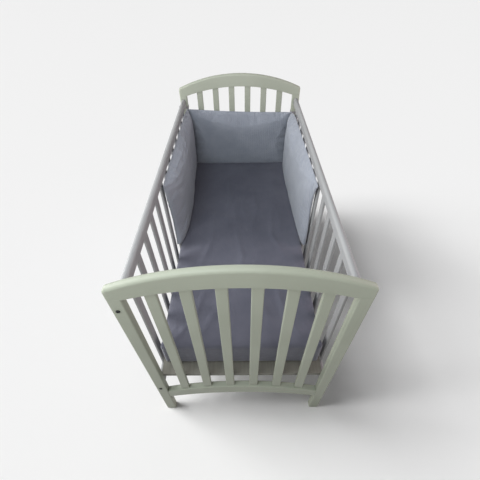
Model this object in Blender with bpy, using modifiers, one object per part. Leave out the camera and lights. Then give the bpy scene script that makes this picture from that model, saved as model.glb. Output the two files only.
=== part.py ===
"""A padded cot bumper of three panels, standing in a slatted wooden cot.

The bumper has a head panel and two side panels. Each is one filled pad with a sewn edge all
round. The cot and its sheeted mattress are plain. Metres, +Z up, +Y towards the head end, and
the origin lies on the floor under the middle of the cot.
"""
import math

import bmesh
import bpy
from mathutils import Matrix, Vector

# Cot: overall sizes
COT_WIDTH = 0.670
COT_LENGTH = 1.284
END_THICKNESS = 0.024
LEG_WIDTH = 0.040
GAP = 0.0003

# Cot: the two arched rails of an end, as radii and heights on the middle line
ARCH_TOP = 1.015
ARCH_TOP_RADIUS = 0.765
ARCH_UNDERSIDE = 0.9484
ARCH_UNDERSIDE_RADIUS = 0.890
ARCH_SHOULDER = 0.0085
LOW_RAIL_TOP = 0.2685
LOW_RAIL_TOP_RADIUS = 0.770
LOW_RAIL_UNDERSIDE = 0.2030
LOW_RAIL_UNDERSIDE_RADIUS = 0.890
ARC_STEPS = 20
RAIL_ROUNDING = 0.010
ROUNDING_STEPS = 4
SHOULDER_STEPS = 5
LEG_OUTER_ROUNDING = 0.007
LEG_ROUNDING = 0.004

LOW_RAIL_SET_BACK = 0.001
LOW_RAIL_ROUNDING = 0.003

# Cot: slats
END_SLATS = 6
END_SLAT_WIDTH = 0.032
END_SLAT_THICKNESS = 0.012
SIDE_SLATS = 13
SIDE_SLAT_WIDTH = 0.030
SIDE_SLAT_THICKNESS = 0.010
SLAT_ROUNDING = 0.002

# Cot: sides
SIDE_X = 0.316
TOP_RAIL_WIDTH = 0.022
TOP_RAIL_LOW = 0.844
TOP_RAIL_HIGH = 0.880
BOTTOM_RAIL_WIDTH = 0.020
BOTTOM_RAIL_LOW = 0.234
BOTTOM_RAIL_HIGH = 0.274

# Cot: flat bolt heads on the left leg of the foot end
BOLT_RADIUS = 0.006
BOLT_STANDS_OUT = 0.0022
BOLT_SOCKET_RADIUS = 0.003
BOLT_SOCKET_DEPTH = 0.0013
BOLT_HEIGHTS = {"upper": 0.846, "lower": 0.254}

# Mattress in its sheet, and the board under it
MATTRESS_WIDTH = 0.596
MATTRESS_LENGTH = 1.200
MATTRESS_THICKNESS = 0.140
MATTRESS_TOP = 0.475
MATTRESS_ROUNDING = 0.014
MATTRESS_TOWARDS_HEAD = 0.012
BASE_WIDTH = 0.606
BASE_THICKNESS = 0.018

# Bumper: where the sewn edges run. The panels meet at a corner on each side.
CORNER_X = 0.3003
CORNER_Y = 0.6078
PAD_BACK = 0.008
MITRE = 0.96
PAD_FLATTENED = 0.001
PAD_ROWS = 14
# How square a pad is near each sewn edge: a low power tapers early, a high one stays full
BOTTOM_POWER = 7.0
TOP_POWER = 3.0
END_POWER = 4.0
FOOT_POWER = 3.5
SIDE_COLUMNS = 26
HEAD_COLUMNS = 24

# Bumper side panels. Heights and places of the four corners, how far the foot edge is drawn in
# and how high up that is (skew 1 is half way), and how far the head corner droops.
DROOP_LENGTH = 0.07
SIDE_PANELS = {
    "left": {"x_sign": -1, "top_head": 0.840, "top_foot": 0.8405, "droop": 0.014,
             "foot_top_y": -0.113, "foot_bottom_y": -0.098, "draw_in": 0.023, "skew": 0.8},
    "right": {"x_sign": 1, "top_head": 0.830, "top_foot": 0.8460, "droop": 0.038,
              "foot_top_y": -0.133, "foot_bottom_y": -0.109, "draw_in": 0.033, "skew": 1.8},
}
# How far each side panel stands into the cot from its sewn edge, from the head to the foot
SIDE_DEPTHS = {
    "left": (0.033, 0.034, 0.037, 0.048, 0.053, 0.054, 0.050),
    "right": (0.034, 0.046, 0.046, 0.041, 0.037, 0.033, 0.031),
}
# Soft troughs across the side panels: start and end as fractions along and up, depth and width
SIDE_TROUGHS = {
    "left": ({"start": (0.10, 0.95), "end": (0.55, 0.35), "depth": 0.006, "width": 0.055},
             {"start": (0.35, 0.97), "end": (0.95, 0.70), "depth": 0.004, "width": 0.050}),
    "right": ({"start": (0.12, 0.90), "end": (0.30, 0.15), "depth": 0.004, "width": 0.060},
              {"start": (0.70, 0.97), "end": (0.90, 0.25), "depth": 0.005, "width": 0.060}),
}

# Bumper head panel
HEAD_TOP_LEFT = 0.828
HEAD_TOP_RIGHT = 0.803
HEAD_SAG = 0.006
HEAD_DEPTH = 0.040

# Ties at the two head corners. The right one sits lower, where its corner of the bumper droops.
TIE_HEIGHTS = {"left": 0.832, "right": 0.795}
TIE_WIDTH = 0.014
TIE_THICKNESS = 0.0016
TIE_CLEARANCE = 0.0006
TIE_CORNER_ROUNDING = 0.0055
TIE_KNOT = (0.0062, 0.0085, 0.0100)
TIE_KNOT_OUT = 0.0045
TIE_TAIL = 0.060
TIE_TAIL_WIDTH = 0.0112
TIE_TAILS_APART = 0.003
TIE_TAILS_SPREAD = 0.008
TIE_TAIL_TWIST = 0.35
TIE_TAIL_UNEVEN = 0.08

INNER_Y = COT_LENGTH / 2 - END_THICKNESS
LEG_X = (COT_WIDTH - LEG_WIDTH) / 2
SEAM_HEIGHT = ARCH_UNDERSIDE - (
    ARCH_UNDERSIDE_RADIUS - math.sqrt(ARCH_UNDERSIDE_RADIUS ** 2 - (COT_WIDTH / 2 - LEG_WIDTH) ** 2))
PAD_FLOOR = MATTRESS_TOP + GAP

COLLECTION = "crib_bumper_on_crib"


def clear_scene():
    for scene_object in list(bpy.data.objects):
        bpy.data.objects.remove(scene_object, do_unlink=True)


def new_collection(name):
    collection = bpy.data.collections.new(name)
    bpy.context.scene.collection.children.link(collection)
    return collection


def finish(name, color, roughness, metallic=0.0):
    material = bpy.data.materials.new(name)
    material.use_nodes = True
    shader = material.node_tree.nodes["Principled BSDF"]
    shader.inputs["Base Color"].default_value = (*color, 1.0)
    shader.inputs["Roughness"].default_value = roughness
    shader.inputs["Metallic"].default_value = metallic
    material.diffuse_color = (*color, 1.0)
    return material


def add_object(name, mesh, material, collection):
    part = bpy.data.objects.new(name, mesh)
    mesh.materials.clear()
    mesh.materials.append(material)
    collection.objects.link(part)
    return part


def mesh_from(work, name):
    mesh = bpy.data.meshes.new(name)
    work.to_mesh(mesh)
    work.free()
    return mesh


def evaluated_mesh(source):
    """The mesh of an object as its curve and modifiers make it, with loose caps welded."""
    bpy.context.view_layer.update()
    graph = bpy.context.evaluated_depsgraph_get()
    mesh = bpy.data.meshes.new_from_object(source.evaluated_get(graph))
    work = bmesh.new()
    work.from_mesh(mesh)
    bmesh.ops.remove_doubles(work, verts=work.verts, dist=0.00002)
    work.to_mesh(mesh)
    work.free()
    return mesh


def round_edges(mesh, chosen, radius, segments):
    """Round each sharp edge whose middle the function chosen accepts."""
    work = bmesh.new()
    work.from_mesh(mesh)
    sharp = math.radians(50)
    edges = [edge for edge in work.edges
             if edge.calc_face_angle(0.0) > sharp and chosen(edge)]
    bmesh.ops.bevel(work, geom=edges, offset=radius, segments=segments, profile=0.5,
                    affect="EDGES", clamp_overlap=True)
    work.to_mesh(mesh)
    work.free()


def shade_round(mesh):
    mesh.shade_smooth()
    mesh.set_sharp_from_angle(angle=math.radians(35))


def box_mesh(name, low, high):
    """A box between two corners, in world coordinates."""
    work = bmesh.new()
    bmesh.ops.create_cube(work, size=1.0)
    size = Vector(high) - Vector(low)
    middle = (Vector(high) + Vector(low)) / 2
    bmesh.ops.transform(work, matrix=Matrix.Translation(middle) @ Matrix.Diagonal((*size, 1.0)),
                        verts=work.verts)
    return mesh_from(work, name)


def runs_along(axis):
    """A test for edges that run along one axis: 0, 1 or 2."""
    def chosen(edge):
        along = edge.verts[0].co - edge.verts[1].co
        return abs(along[axis]) > 0.9 * along.length
    return chosen


def outline_mesh(name, loops, half_depth, placement):
    """A flat filled outline, with holes where a second loop is given, given its thickness."""
    curve = bpy.data.curves.new(name, "CURVE")
    curve.dimensions = "2D"
    curve.fill_mode = "BOTH"
    curve.extrude = half_depth
    for points in loops:
        spline = curve.splines.new("POLY")
        spline.points.add(len(points) - 1)
        for spline_point, (across, up) in zip(spline.points, points):
            spline_point.co = (across, up, 0.0, 1.0)
        spline.use_cyclic_u = True
    drawing = bpy.data.objects.new(name, curve)
    bpy.context.scene.collection.objects.link(drawing)
    mesh = evaluated_mesh(drawing)
    bpy.data.objects.remove(drawing, do_unlink=True)
    mesh.transform(placement)
    return mesh


def arc_height(x, middle_height, radius):
    return middle_height - (radius - math.sqrt(radius ** 2 - x ** 2))


def arc_points(x_from, x_to, middle_height, radius):
    points = []
    for step in range(ARC_STEPS + 1):
        x = x_from + (x_to - x_from) * step / ARC_STEPS
        points.append((x, arc_height(x, middle_height, radius)))
    return points


def along_arc(x_from, x_to, middle_height, radius, facing, rounding):
    """Points of an arc for an outline. They face up with 1 and down with -1."""
    centre_z = middle_height - radius
    return [(x, z, facing * x / radius, facing * (z - centre_z) / radius, rounding)
            for x, z in arc_points(x_from, x_to, middle_height, radius)]


def shoulder_points(side):
    """The round outer corner of the top rail, from its upright end to its arched top."""
    half = COT_WIDTH / 2
    join_x = half - ARCH_SHOULDER
    join_z = arc_height(join_x, ARCH_TOP, ARCH_TOP_RADIUS)
    slope = math.asin(join_x / ARCH_TOP_RADIUS)
    turn = math.pi / 2 - slope
    radius = ARCH_SHOULDER / (1 - math.sin(slope))
    centre_x = half - radius
    centre_z = join_z - radius * math.cos(slope)
    points = []
    for step in range(SHOULDER_STEPS):
        share = step / SHOULDER_STEPS
        out_x = math.cos(turn * share)
        out_z = math.sin(turn * share)
        rounding = LEG_OUTER_ROUNDING + (RAIL_ROUNDING - LEG_OUTER_ROUNDING) * share
        points.append((side * (centre_x + radius * out_x), centre_z + radius * out_z,
                       side * out_x, out_z, rounding))
    return points


def rounded_board(name, outline, half_depth, y_middle):
    """An upright board. Each point of its outline has a place, the way it faces and a rounding."""
    work = bmesh.new()
    rings = []
    for side in (-1, 1):
        for step in range(ROUNDING_STEPS + 1):
            turn = math.pi / 2 * (step if side < 0 else ROUNDING_STEPS - step) / ROUNDING_STEPS
            ring = []
            for x, z, out_x, out_z, rounding in outline:
                inset = rounding * (1 - math.sin(turn))
                y = side * (half_depth - rounding * (1 - math.cos(turn)))
                ring.append(work.verts.new((x - inset * out_x, y_middle + y, z - inset * out_z)))
            rings.append(ring)
    for ring, following in zip(rings, rings[1:]):
        for index in range(len(ring)):
            after = (index + 1) % len(ring)
            work.faces.new((ring[index], ring[after], following[after], following[index]))
    work.faces.new(rings[0])
    work.faces.new(rings[-1])
    bmesh.ops.remove_doubles(work, verts=work.verts, dist=0.00001)
    bmesh.ops.triangulate(work, faces=[face for face in work.faces if len(face.verts) > 4])
    bmesh.ops.recalc_face_normals(work, faces=work.faces)
    return mesh_from(work, name)


def top_rail_of_end(end_name, y_middle, paint, collection):
    half = COT_WIDTH / 2
    inner = half - LEG_WIDTH
    join = half - ARCH_SHOULDER
    outline = along_arc(-inner, inner, ARCH_UNDERSIDE, ARCH_UNDERSIDE_RADIUS, -1, 0.0)
    outline.append((half, SEAM_HEIGHT, 1.0, 0.0, LEG_OUTER_ROUNDING))
    outline += shoulder_points(1)
    outline += along_arc(join, -join, ARCH_TOP, ARCH_TOP_RADIUS, 1, RAIL_ROUNDING)
    outline += reversed(shoulder_points(-1))
    outline.append((-half, SEAM_HEIGHT, -1.0, 0.0, LEG_OUTER_ROUNDING))
    mesh = rounded_board(end_name + "_arch", outline, END_THICKNESS / 2, y_middle)
    shade_round(mesh)
    add_object(end_name + "_arch", mesh, paint, collection)


def low_rail_of_end(end_name, y_middle, paint, collection):
    inner = COT_WIDTH / 2 - LEG_WIDTH - GAP
    outline = along_arc(-inner, inner, LOW_RAIL_UNDERSIDE, LOW_RAIL_UNDERSIDE_RADIUS, -1,
                        LOW_RAIL_ROUNDING)
    outline += along_arc(inner, -inner, LOW_RAIL_TOP, LOW_RAIL_TOP_RADIUS, 1, LOW_RAIL_ROUNDING)
    # The rail's two ends stay upright against the legs.
    outline = [(x, z, out_x if abs(x) < inner else 0.0, out_z, rounding)
               for x, z, out_x, out_z, rounding in outline]
    mesh = rounded_board(end_name + "_low_rail", outline, END_THICKNESS / 2 - LOW_RAIL_SET_BACK,
                         y_middle)
    shade_round(mesh)
    add_object(end_name + "_low_rail", mesh, paint, collection)


def is_outside(edge, x_middle):
    """Whether an edge is on the outer side of a leg."""
    return abs(edge.verts[0].co.x) > abs(x_middle)


def leg(name, x_middle, y_middle, paint, collection):
    """An upright leg whose outer edges are rounded more than its inner ones."""
    half_width = LEG_WIDTH / 2
    half_depth = END_THICKNESS / 2
    mesh = box_mesh(name, (x_middle - half_width, y_middle - half_depth, 0.0),
                    (x_middle + half_width, y_middle + half_depth, SEAM_HEIGHT - GAP))
    upright_edge = runs_along(2)
    round_edges(mesh, lambda edge: upright_edge(edge) and is_outside(edge, x_middle),
                LEG_OUTER_ROUNDING, 3)
    round_edges(mesh, lambda edge: upright_edge(edge) and not is_outside(edge, x_middle),
                LEG_ROUNDING, 3)
    shade_round(mesh)
    add_object(name, mesh, paint, collection)


def end_slat(name, x_middle, y_middle, paint, collection):
    """A flat slat whose ends are cut to the slopes of the two arched rails."""
    low_x = x_middle - END_SLAT_WIDTH / 2
    high_x = x_middle + END_SLAT_WIDTH / 2
    half_depth = END_SLAT_THICKNESS / 2
    mesh = box_mesh(name, (low_x, y_middle - half_depth, 0.0), (high_x, y_middle + half_depth, 1.0))
    round_edges(mesh, runs_along(2), SLAT_ROUNDING, 1)
    left_top = arc_height(low_x, ARCH_UNDERSIDE, ARCH_UNDERSIDE_RADIUS)
    right_top = arc_height(high_x, ARCH_UNDERSIDE, ARCH_UNDERSIDE_RADIUS)
    left_low = arc_height(low_x, LOW_RAIL_TOP, LOW_RAIL_TOP_RADIUS)
    right_low = arc_height(high_x, LOW_RAIL_TOP, LOW_RAIL_TOP_RADIUS)
    for vertex in mesh.vertices:
        share = (vertex.co.x - low_x) / END_SLAT_WIDTH
        if vertex.co.z > 0.5:
            vertex.co.z = left_top + (right_top - left_top) * share - GAP
        else:
            vertex.co.z = left_low + (right_low - left_low) * share + 2 * GAP
    shade_round(mesh)
    add_object(name, mesh, paint, collection)


def cot_end(end_name, y_middle, paint, collection):
    """One end of the cot: arched rail, low rail, two legs and six slats."""
    top_rail_of_end(end_name, y_middle, paint, collection)
    low_rail_of_end(end_name, y_middle, paint, collection)
    for side_name, side in (("left", -1), ("right", 1)):
        leg(end_name + "_leg_" + side_name, side * LEG_X, y_middle, paint, collection)
    opening = COT_WIDTH - 2 * LEG_WIDTH
    pitch = (opening - END_SLATS * END_SLAT_WIDTH) / (END_SLATS + 1) + END_SLAT_WIDTH
    for index in range(END_SLATS):
        x_middle = (index - (END_SLATS - 1) / 2) * pitch
        end_slat(end_name + "_slat_" + str(index + 1), x_middle, y_middle, paint, collection)


def side_top_rail(side_name, side, paint, collection):
    """A bar along the side with a half-round top."""
    radius = TOP_RAIL_WIDTH / 2
    steps = 10
    points = [(-radius, TOP_RAIL_LOW), (radius, TOP_RAIL_LOW)]
    for step in range(steps + 1):
        angle = math.pi * step / steps
        points.append((radius * math.cos(angle), TOP_RAIL_HIGH - radius + radius * math.sin(angle)))
    placement = Matrix.Translation((side * SIDE_X, 0, 0)) @ Matrix.Rotation(math.pi / 2, 4, "X")
    mesh = outline_mesh(side_name + "_top_rail", [points], INNER_Y - GAP, placement)
    shade_round(mesh)
    add_object(side_name + "_top_rail", mesh, paint, collection)


def cot_side(side_name, side, paint, collection):
    """One side of the cot: top rail, bottom rail and thirteen slats between them."""
    side_top_rail(side_name, side, paint, collection)
    half = BOTTOM_RAIL_WIDTH / 2
    mesh = box_mesh(side_name + "_bottom_rail",
                    (side * SIDE_X - half, -INNER_Y + GAP, BOTTOM_RAIL_LOW),
                    (side * SIDE_X + half, INNER_Y - GAP, BOTTOM_RAIL_HIGH))
    round_edges(mesh, runs_along(1), LEG_ROUNDING, 2)
    shade_round(mesh)
    add_object(side_name + "_bottom_rail", mesh, paint, collection)
    clear = (2 * INNER_Y - SIDE_SLATS * SIDE_SLAT_WIDTH) / (SIDE_SLATS + 1)
    pitch = clear + SIDE_SLAT_WIDTH
    for index in range(SIDE_SLATS):
        y_middle = (index - (SIDE_SLATS - 1) / 2) * pitch
        name = side_name + "_slat_" + str(index + 1)
        slat = box_mesh(name,
                        (side * SIDE_X - SIDE_SLAT_THICKNESS / 2, y_middle - SIDE_SLAT_WIDTH / 2,
                         BOTTOM_RAIL_HIGH + GAP),
                        (side * SIDE_X + SIDE_SLAT_THICKNESS / 2, y_middle + SIDE_SLAT_WIDTH / 2,
                         TOP_RAIL_LOW - GAP))
        round_edges(slat, runs_along(2), SLAT_ROUNDING, 1)
        shade_round(slat)
        add_object(name, slat, paint, collection)


def rod_mesh(radius, y_from, y_to, x, z, sides):
    """A round rod along Y between two depths."""
    work = bmesh.new()
    bmesh.ops.create_cone(work, cap_ends=True, segments=sides, radius1=radius, radius2=radius,
                          depth=y_to - y_from)
    placement = Matrix.Translation((x, (y_from + y_to) / 2, z)) @ Matrix.Rotation(
        math.pi / 2, 4, "X")
    bmesh.ops.transform(work, matrix=placement, verts=work.verts)
    return mesh_from(work, "rod")


def cut(target, cutter_mesh, cutters):
    """Leave a Boolean difference on the target, with the cutter kept out of the model."""
    cutter = bpy.data.objects.new("cut_" + target.name, cutter_mesh)
    cutter.display_type = "WIRE"
    cutter.hide_render = True
    cutters.objects.link(cutter)
    modifier = target.modifiers.new(cutter.name, "BOOLEAN")
    modifier.operation = "DIFFERENCE"
    modifier.solver = "EXACT"
    modifier.object = cutter


def bolts(steel, collection, cutters):
    """Two flat socket-head bolts on the face of the left leg of the foot end."""
    face_y = -COT_LENGTH / 2
    for name, height in BOLT_HEIGHTS.items():
        head = add_object("bolt_" + name,
                          rod_mesh(BOLT_RADIUS, face_y - BOLT_STANDS_OUT, face_y - GAP, -SIDE_X,
                                   height, 24),
                          steel, collection)
        socket = rod_mesh(BOLT_SOCKET_RADIUS, face_y - 2 * BOLT_STANDS_OUT,
                          face_y - BOLT_STANDS_OUT + BOLT_SOCKET_DEPTH, -SIDE_X, height, 6)
        cut(head, socket, cutters)


def mattress(sheet, wood, collection):
    """The mattress in its fitted sheet, with rounded edges, on a plain board."""
    half_width = MATTRESS_WIDTH / 2
    half_length = MATTRESS_LENGTH / 2
    middle_y = MATTRESS_TOWARDS_HEAD
    mesh = box_mesh("mattress",
                    (-half_width, middle_y - half_length, MATTRESS_TOP - MATTRESS_THICKNESS),
                    (half_width, middle_y + half_length, MATTRESS_TOP))
    round_edges(mesh, lambda edge: True, MATTRESS_ROUNDING, 4)
    shade_round(mesh)
    add_object("mattress", mesh, sheet, collection)
    base_top = MATTRESS_TOP - MATTRESS_THICKNESS - GAP
    board = box_mesh("mattress_base",
                     (-BASE_WIDTH / 2, -INNER_Y + GAP, base_top - BASE_THICKNESS),
                     (BASE_WIDTH / 2, INNER_Y - GAP, base_top))
    add_object("mattress_base", board, wood, collection)


def bulge(fraction, low_power, high_power):
    """How full a pad is at a fraction of the way across it: 0 at both sewn edges, 1 between."""
    distance = abs(2 * fraction - 1)
    power = low_power if fraction < 0.5 else high_power
    return max(0.0, 1 - distance ** power) ** (1 / power)


def between(values, fraction):
    """Smooth reading of an evenly spaced row of values."""
    place = min(max(fraction, 0.0), 1.0) * (len(values) - 1)
    index = min(int(place), len(values) - 2)
    share = place - index
    share = share * share * (3 - 2 * share)
    return values[index] * (1 - share) + values[index + 1] * share


def trough_depth(troughs, along, up):
    """The sum of the soft troughs at a point of a panel."""
    total = 0.0
    point = Vector((along, up))
    for trough in troughs:
        start = Vector(trough["start"])
        line = Vector(trough["end"]) - start
        share = min(max((point - start).dot(line) / line.length_squared, 0.0), 1.0)
        distance = (point - start - line * share).length
        fade = math.sin(math.pi * (0.15 + 0.7 * share))
        total += trough["depth"] * fade * math.exp(-(distance / trough["width"]) ** 2)
    return total


def skin_grid(work, columns, rows, place):
    """One skin of a pad: a grid whose points are set from their fractions along and up."""
    grid = bmesh.ops.create_grid(work, x_segments=columns, y_segments=rows, size=0.5)
    for vertex in grid["verts"]:
        vertex.co = place(min(max(vertex.co.x + 0.5, 0.0), 1.0),
                          min(max(vertex.co.y + 0.5, 0.0), 1.0))


def pad(name, columns, rows, front, back, cloth, collection):
    """A filled pad: a front and a back skin that share one sewn edge all round."""
    work = bmesh.new()
    skin_grid(work, columns, rows, front)
    skin_grid(work, columns, rows, back)
    bmesh.ops.remove_doubles(work, verts=work.verts, dist=0.00001)
    bmesh.ops.recalc_face_normals(work, faces=work.faces)
    if work.calc_volume(signed=True) < 0:
        bmesh.ops.reverse_faces(work, faces=work.faces)
    mesh = mesh_from(work, name)
    shade_round(mesh)
    add_object(name, mesh, cloth, collection)


def closer_to_edges(fraction):
    """Moves evenly spaced fractions towards both edges, where a pad curves most."""
    return 0.5 - 0.5 * math.cos(math.pi * fraction) * (0.72 + 0.28 * abs(math.cos(math.pi * fraction)))


def side_panel(side_name, cloth, collection):
    sizes = SIDE_PANELS[side_name]
    side = sizes["x_sign"]
    depths = SIDE_DEPTHS[side_name]
    head_y = CORNER_Y - GAP
    low_edge = PAD_FLOOR - PAD_FLATTENED

    def sewn_point(along, up):
        top = sizes["top_head"] + (sizes["top_foot"] - sizes["top_head"]) * along
        top -= sizes["droop"] * math.exp(-along / DROOP_LENGTH)
        height = low_edge + (top - low_edge) * up
        foot_y = sizes["foot_bottom_y"] + (sizes["foot_top_y"] - sizes["foot_bottom_y"]) * up
        foot_y += sizes["draw_in"] * math.sin(math.pi * up ** sizes["skew"])
        return head_y + (foot_y - head_y) * along, height

    def front(column, row):
        along = closer_to_edges(column)
        up = closer_to_edges(row)
        y, z = sewn_point(along, up)
        fullness = bulge(along, END_POWER, FOOT_POWER) * bulge(up, BOTTOM_POWER, TOP_POWER)
        depth = (between(depths, along) - trough_depth(SIDE_TROUGHS[side_name], along, up)) * fullness
        depth = min(depth, MITRE * (CORNER_Y - y))
        return Vector((side * (CORNER_X - depth), y, max(z, PAD_FLOOR)))

    def back(column, row):
        along = closer_to_edges(column)
        up = closer_to_edges(row)
        y, z = sewn_point(along, up)
        depth = PAD_BACK * bulge(along, END_POWER, FOOT_POWER) * bulge(up, BOTTOM_POWER, TOP_POWER)
        return Vector((side * (CORNER_X + depth), y, max(z, PAD_FLOOR)))

    pad("bumper_" + side_name, SIDE_COLUMNS, PAD_ROWS, front, back, cloth, collection)


def head_panel(cloth, collection):
    half = CORNER_X - GAP
    low_edge = PAD_FLOOR - PAD_FLATTENED

    def sewn_point(along, up):
        top = HEAD_TOP_LEFT + (HEAD_TOP_RIGHT - HEAD_TOP_LEFT) * along
        top -= HEAD_SAG * math.sin(math.pi * along)
        return half * (2 * along - 1), low_edge + (top - low_edge) * up

    def front(column, row):
        along = closer_to_edges(column)
        up = closer_to_edges(row)
        x, z = sewn_point(along, up)
        depth = HEAD_DEPTH * bulge(along, END_POWER, END_POWER) * bulge(up, BOTTOM_POWER, TOP_POWER)
        depth = min(depth, MITRE * (CORNER_X - abs(x)))
        return Vector((x, CORNER_Y - depth, max(z, PAD_FLOOR)))

    def back(column, row):
        along = closer_to_edges(column)
        up = closer_to_edges(row)
        x, z = sewn_point(along, up)
        depth = PAD_BACK * bulge(along, END_POWER, END_POWER) * bulge(up, BOTTOM_POWER, TOP_POWER)
        return Vector((x, CORNER_Y + depth, max(z, PAD_FLOOR)))

    pad("bumper_head", HEAD_COLUMNS, PAD_ROWS, front, back, cloth, collection)


def rounded_rectangle(half_x, half_y, radius):
    points = []
    for corner in range(4):
        centre_x = (half_x - radius) * (1 if corner in (0, 3) else -1)
        centre_y = (half_y - radius) * (1 if corner in (0, 1) else -1)
        for step in range(4):
            angle = math.pi / 2 * (corner + step / 3)
            points.append((centre_x + radius * math.cos(angle), centre_y + radius * math.sin(angle)))
    return points


def ribbon_mesh(points, across, width, collection):
    """A flat strip of cloth along a row of points, with its width in one direction."""
    work = bmesh.new()
    step = Vector(across).normalized() * width / 2
    pairs = [(work.verts.new(Vector(point) - step), work.verts.new(Vector(point) + step))
             for point in points]
    for (low, high), (next_low, next_high) in zip(pairs, pairs[1:]):
        work.faces.new((low, high, next_high, next_low))
    strip = bpy.data.objects.new("strip", mesh_from(work, "strip"))
    collection.objects.link(strip)
    solid = strip.modifiers.new("thickness", "SOLIDIFY")
    solid.thickness = TIE_THICKNESS
    solid.offset = 0.0
    mesh = evaluated_mesh(strip)
    bpy.data.objects.remove(strip, do_unlink=True)
    return mesh


def knot_mesh(centre):
    work = bmesh.new()
    bmesh.ops.create_uvsphere(work, u_segments=14, v_segments=8, radius=1.0)
    bmesh.ops.transform(work, matrix=Matrix.Translation(centre) @ Matrix.Diagonal((*TIE_KNOT, 1.0)),
                        verts=work.verts)
    return mesh_from(work, "knot")


def joined(name, meshes, material, collection, cutters):
    """One solid out of several that overlap."""
    whole = add_object(name, meshes[0], material, collection)
    others = []
    for mesh in meshes[1:]:
        other = bpy.data.objects.new(name + "_piece", mesh)
        cutters.objects.link(other)
        others.append(other)
        modifier = whole.modifiers.new("join", "BOOLEAN")
        modifier.operation = "UNION"
        modifier.solver = "EXACT"
        modifier.object = other
    merged = evaluated_mesh(whole)
    whole.modifiers.clear()
    whole.data = merged
    for other in others:
        bpy.data.objects.remove(other, do_unlink=True)
    shade_round(merged)
    return whole


def tie(side_name, side, cloth, collection, cutters):
    """A cloth tie from the corner of the bumper round the leg, knotted on its outer side."""
    height = TIE_HEIGHTS[side_name]
    leg_y = COT_LENGTH / 2 - END_THICKNESS / 2
    inner_x = LEG_WIDTH / 2 + TIE_CLEARANCE
    inner_y = END_THICKNESS / 2 + TIE_CLEARANCE
    loops = [rounded_rectangle(inner_x + TIE_THICKNESS, inner_y + TIE_THICKNESS,
                               TIE_CORNER_ROUNDING),
             rounded_rectangle(inner_x, inner_y, TIE_CORNER_ROUNDING - TIE_THICKNESS)]
    band = outline_mesh("band", loops, TIE_WIDTH / 2,
                        Matrix.Translation((side * LEG_X, leg_y, height)))
    outer_x = side * (LEG_X + inner_x + TIE_THICKNESS)
    knot_y = leg_y - TIE_KNOT[1]
    knot = knot_mesh(Vector((outer_x + side * TIE_KNOT_OUT, knot_y, height)))
    front_y = leg_y - inner_y - TIE_THICKNESS / 2
    lug = ribbon_mesh([(side * (CORNER_X - 0.0010), CORNER_Y + 0.0012, height),
                       (side * (CORNER_X + 0.0010), front_y - 0.0030, height),
                       (side * (CORNER_X + 0.0050), front_y, height)],
                      (0, 0, 1), TIE_TAIL_WIDTH, cutters)
    tails = []
    for lean in (-1, 1):
        route = []
        for step in range(7):
            share = step / 6
            stands_out = TIE_KNOT_OUT + 0.001 * math.cos(math.pi * share)
            route.append((outer_x + side * stands_out,
                          knot_y + lean * (TIE_TAILS_APART + TIE_TAILS_SPREAD * share),
                          height - TIE_TAIL * share * (1 - TIE_TAIL_UNEVEN * lean)))
        tails.append(ribbon_mesh(route, (0, 1, lean * TIE_TAIL_TWIST), TIE_TAIL_WIDTH, cutters))
    joined("tie_" + side_name, [band, knot, lug] + tails, cloth, collection, cutters)


def build():
    clear_scene()
    collection = new_collection(COLLECTION)
    cutters = new_collection("cutters")
    paint = finish("sage_paint", (0.49, 0.52, 0.46), 0.40)
    muslin = finish("grey_muslin", (0.36, 0.38, 0.41), 0.90)
    sheet = finish("dark_sheet", (0.11, 0.11, 0.14), 0.90)
    wood = finish("base_board", (0.17, 0.16, 0.13), 0.70)
    steel = finish("black_bolt", (0.03, 0.04, 0.04), 0.35, 1.0)
    cot_end("foot", -COT_LENGTH / 2 + END_THICKNESS / 2, paint, collection)
    cot_end("head", COT_LENGTH / 2 - END_THICKNESS / 2, paint, collection)
    cot_side("left", -1, paint, collection)
    cot_side("right", 1, paint, collection)
    bolts(steel, collection, cutters)
    mattress(sheet, wood, collection)
    side_panel("left", muslin, collection)
    side_panel("right", muslin, collection)
    head_panel(muslin, collection)
    tie("left", -1, muslin, collection, cutters)
    tie("right", 1, muslin, collection, cutters)


build()
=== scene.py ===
# %% [markdown]
# # A padded crib bumper, standing in its crib
# The frame is the measured model: every rail, slat, leg and pad at its real size, in metres. It
# comes first, because each piece that follows is made to fit it. The hard pieces stay as they are
# and get a finish. The soft ones are made again here, with the fullness and creases of real cloth.

# %% Load the frame
import math

import bmesh
import bpy
from mathutils import Matrix, Vector, noise


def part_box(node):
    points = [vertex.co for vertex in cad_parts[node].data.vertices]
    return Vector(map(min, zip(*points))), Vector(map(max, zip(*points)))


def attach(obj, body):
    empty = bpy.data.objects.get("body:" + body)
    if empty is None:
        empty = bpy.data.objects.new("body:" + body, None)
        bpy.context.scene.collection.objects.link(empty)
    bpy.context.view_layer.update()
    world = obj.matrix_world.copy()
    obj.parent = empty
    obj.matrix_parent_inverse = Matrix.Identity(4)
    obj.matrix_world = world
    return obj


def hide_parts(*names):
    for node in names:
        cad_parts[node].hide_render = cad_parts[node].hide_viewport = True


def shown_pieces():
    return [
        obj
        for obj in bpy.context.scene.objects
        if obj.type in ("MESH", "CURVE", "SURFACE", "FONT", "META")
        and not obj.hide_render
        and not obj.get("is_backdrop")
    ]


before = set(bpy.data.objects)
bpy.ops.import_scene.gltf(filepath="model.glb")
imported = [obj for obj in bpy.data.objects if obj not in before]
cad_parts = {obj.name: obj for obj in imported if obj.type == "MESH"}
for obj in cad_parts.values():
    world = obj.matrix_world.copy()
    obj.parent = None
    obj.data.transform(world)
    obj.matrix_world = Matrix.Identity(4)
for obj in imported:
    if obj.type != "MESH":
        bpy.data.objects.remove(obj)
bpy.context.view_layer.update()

print("pieces in the frame:", len(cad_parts))

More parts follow.
